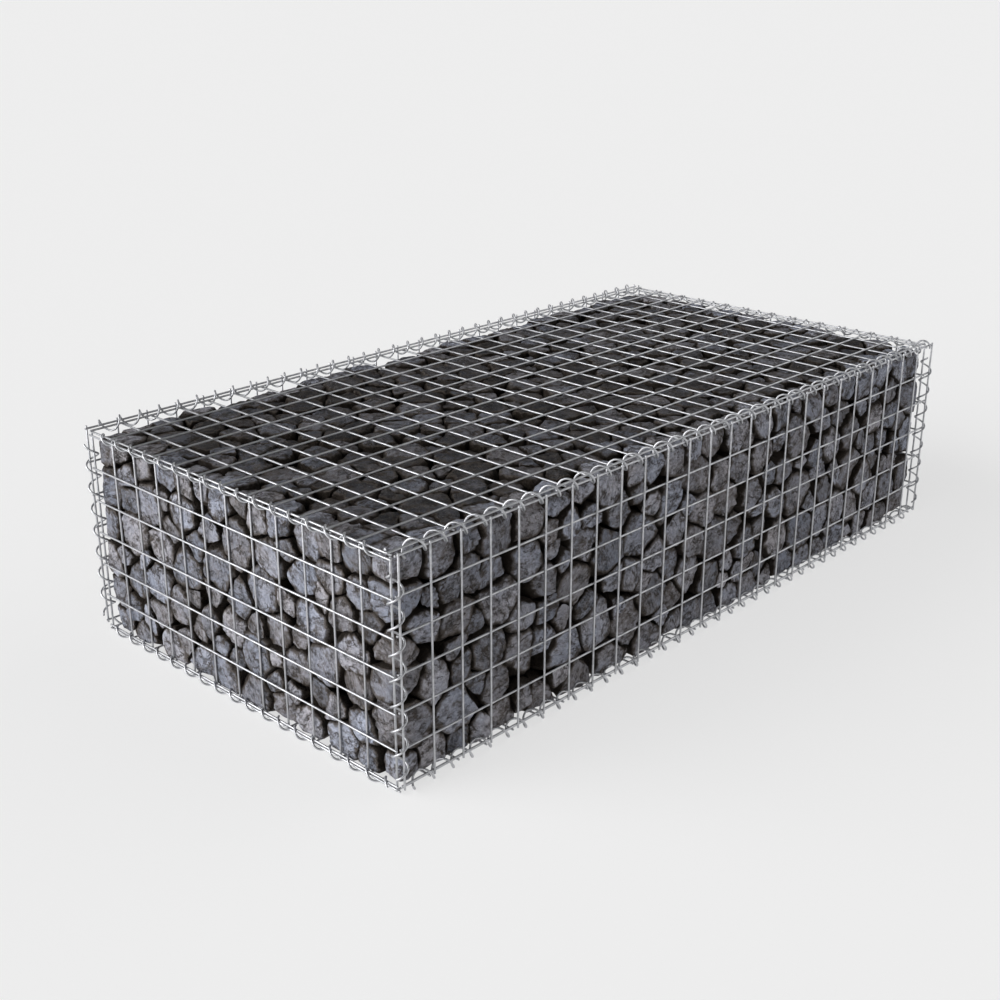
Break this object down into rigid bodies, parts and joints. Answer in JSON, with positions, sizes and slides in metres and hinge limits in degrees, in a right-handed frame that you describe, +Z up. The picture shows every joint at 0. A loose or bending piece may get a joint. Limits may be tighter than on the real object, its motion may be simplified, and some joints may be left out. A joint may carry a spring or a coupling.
{
  "type": "filled gabion basket",
  "caption": "Oblong welded wire mesh basket with lid, laced along its edges by spiral binders and filled with rough dark stone; one bay of a gabion wall.",
  "frame": {"origin": "middle of the basket's outline, on the ground under its foot spirals", "axes": "+X along the length, +Y from the front to the back, +Z up"},
  "size_m": [2.0344, 1.0636, 0.5271],
  "materials": {
    "zinc_wire": "galvanised, dull",
    "stone": null
  },
  "bodies": {
    "root": {"lid": "zinc_wire", "base": "zinc_wire", "front": "zinc_wire", "back": "zinc_wire", "end_left": "zinc_wire", "end_right": "zinc_wire", "binder_top_front": "zinc_wire", "binder_top_back": "zinc_wire", "binder_top_left": "zinc_wire", "binder_top_right": "zinc_wire", "binder_foot_front": "zinc_wire", "binder_foot_back": "zinc_wire", "binder_foot_left": "zinc_wire", "binder_foot_right": "zinc_wire", "binder_corner_front_left": "zinc_wire", "binder_corner_front_right": "zinc_wire", "binder_corner_back_left": "zinc_wire", "binder_corner_back_right": "zinc_wire", "stone_low_1": "stone", "stone_low_2": "stone", "stone_low_3": "stone", "stone_low_4": "stone", "stone_low_5": "stone", "stone_top_1": "stone", "stone_top_2": "stone", "stone_top_3": "stone", "stone_top_4": "stone", "stone_top_5": "stone"}
  },
  "joints": []
}
